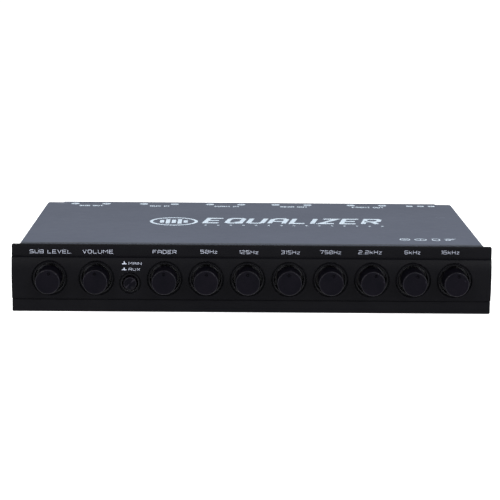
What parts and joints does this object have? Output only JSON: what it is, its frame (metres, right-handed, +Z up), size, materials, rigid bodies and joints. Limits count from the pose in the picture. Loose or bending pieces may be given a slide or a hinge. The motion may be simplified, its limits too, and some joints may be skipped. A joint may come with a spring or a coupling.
{
  "type": "graphic equalizer",
  "caption": "Half-height in-dash graphic equalizer: folded steel chassis, black front panel with a row of rotary controls and a push switch, phono jacks and a supply socket behind.",
  "frame": {"origin": "centre of the underside of the whole object's bounding box", "axes": "+X to the right as seen from the front panel, +Y from the front panel towards the rear jacks, +Z up"},
  "size_m": [0.178, 0.129, 0.0255],
  "materials": {
    "painted_steel": "satin blue-grey powder coat",
    "panel_plastic": "satin black moulded plastic, fine texture",
    "knob_rubber": "soft matt black",
    "black_plastic": "moulded black nylon",
    "board_green": "green solder mask over glass-fibre laminate",
    "nickel_plate": "bright nickel plate",
    "zinc_plate": "zinc-plated steel",
    "ferrite": "sintered ferrite",
    "capacitor_sleeve": "shrunk plastic sleeve",
    "copper_wire": "enamelled copper winding",
    "legend_ink": "pale blue-grey screen-printed ink"
  },
  "bodies": {
    "chassis": {"front_panel": "panel_plastic", "chassis_tray": "painted_steel", "top_cover": "painted_steel", "main_board": "board_green", "pot_body_sub_level": "black_plastic", "pot_body_volume": "black_plastic", "pot_body_fader": "black_plastic", "pot_body_50hz": "black_plastic", "pot_body_125hz": "black_plastic", "pot_body_315hz": "black_plastic", "pot_body_750hz": "black_plastic", "pot_body_2k2hz": "black_plastic", "pot_body_6khz": "black_plastic", "pot_body_16khz": "black_plastic", "switch_body": "black_plastic", "jack_block_sub_out": "black_plastic", "jack_shell_sub_out": "nickel_plate", "jack_block_aux_in": "black_plastic", "jack_shell_aux_in": "nickel_plate", "jack_block_main_in": "black_plastic", "jack_shell_main_in": "nickel_plate", "jack_block_rear_out": "black_plastic", "jack_shell_rear_out": "nickel_plate", "jack_block_front_out": "black_plastic", "jack_shell_front_out": "nickel_plate", "supply_header": "black_plastic", "supply_pin_12v": "nickel_plate", "supply_pin_remote": "nickel_plate", "supply_pin_ground": "nickel_plate", "cover_screw_left_front": "zinc_plate", "cover_screw_left_rear": "zinc_plate", "cover_screw_right_front": "zinc_plate", "cover_screw_right_rear": "zinc_plate", "supply_capacitor": "capacitor_sleeve", "noise_choke": "copper_wire", "converter_transformer": "ferrite", "voltage_regulator": "black_plastic", "filter_op_amp": "black_plastic"},
    "control_sub_level": {"knob_sub_level": "knob_rubber", "pot_shaft_sub_level": "nickel_plate"},
    "control_volume": {"knob_volume": "knob_rubber", "pot_shaft_volume": "nickel_plate"},
    "control_fader": {"knob_fader": "knob_rubber", "pot_shaft_fader": "nickel_plate"},
    "control_50hz": {"knob_50hz": "knob_rubber", "pot_shaft_50hz": "nickel_plate"},
    "control_125hz": {"knob_125hz": "knob_rubber", "pot_shaft_125hz": "nickel_plate"},
    "control_315hz": {"knob_315hz": "knob_rubber", "pot_shaft_315hz": "nickel_plate"},
    "control_750hz": {"knob_750hz": "knob_rubber", "pot_shaft_750hz": "nickel_plate"},
    "control_2k2hz": {"knob_2k2hz": "knob_rubber", "pot_shaft_2k2hz": "nickel_plate"},
    "control_6khz": {"knob_6khz": "knob_rubber", "pot_shaft_6khz": "nickel_plate"},
    "control_16khz": {"knob_16khz": "knob_rubber", "pot_shaft_16khz": "nickel_plate"},
    "source_switch": {"source_button": "knob_rubber", "switch_plunger": "black_plastic"}
  },
  "joints": [
    {"name": "turn_sub_level", "type": "hinge", "parent": "chassis", "child": "control_sub_level", "pos_m": [-0.07495, -0.0595, 0.0129], "axis": [0, 1, 0], "range_deg": [-159, 141]},
    {"name": "turn_volume", "type": "hinge", "parent": "chassis", "child": "control_volume", "pos_m": [-0.05755, -0.0595, 0.0129], "axis": [0, 1, 0], "range_deg": [-147, 153]},
    {"name": "turn_fader", "type": "hinge", "parent": "chassis", "child": "control_fader", "pos_m": [-0.03227, -0.0595, 0.0129], "axis": [0, 1, 0], "range_deg": [-148, 152]},
    {"name": "turn_50hz", "type": "hinge", "parent": "chassis", "child": "control_50hz", "pos_m": [-0.01691, -0.0595, 0.0129], "axis": [0, 1, 0], "range_deg": [-153, 147]},
    {"name": "turn_125hz", "type": "hinge", "parent": "chassis", "child": "control_125hz", "pos_m": [-0.00155, -0.0595, 0.0129], "axis": [0, 1, 0], "range_deg": [-150, 150]},
    {"name": "turn_315hz", "type": "hinge", "parent": "chassis", "child": "control_315hz", "pos_m": [0.01381, -0.0595, 0.0129], "axis": [0, 1, 0], "range_deg": [-145, 155]},
    {"name": "turn_750hz", "type": "hinge", "parent": "chassis", "child": "control_750hz", "pos_m": [0.02917, -0.0595, 0.0129], "axis": [0, 1, 0], "range_deg": [-166, 134]},
    {"name": "turn_2k2hz", "type": "hinge", "parent": "chassis", "child": "control_2k2hz", "pos_m": [0.04453, -0.0595, 0.0129], "axis": [0, 1, 0], "range_deg": [-168, 132]},
    {"name": "turn_6khz", "type": "hinge", "parent": "chassis", "child": "control_6khz", "pos_m": [0.05989, -0.0595, 0.0129], "axis": [0, 1, 0], "range_deg": [-168, 132]},
    {"name": "turn_16khz", "type": "hinge", "parent": "chassis", "child": "control_16khz", "pos_m": [0.07525, -0.0595, 0.0129], "axis": [0, 1, 0], "range_deg": [-163, 137]},
    {"name": "press_source", "type": "slide", "parent": "chassis", "child": "source_switch", "axis": [0, 1, 0], "range_m": [0, 0.002], "stiffness_N_per_m": 250, "springref_m": -0.002}
  ]
}
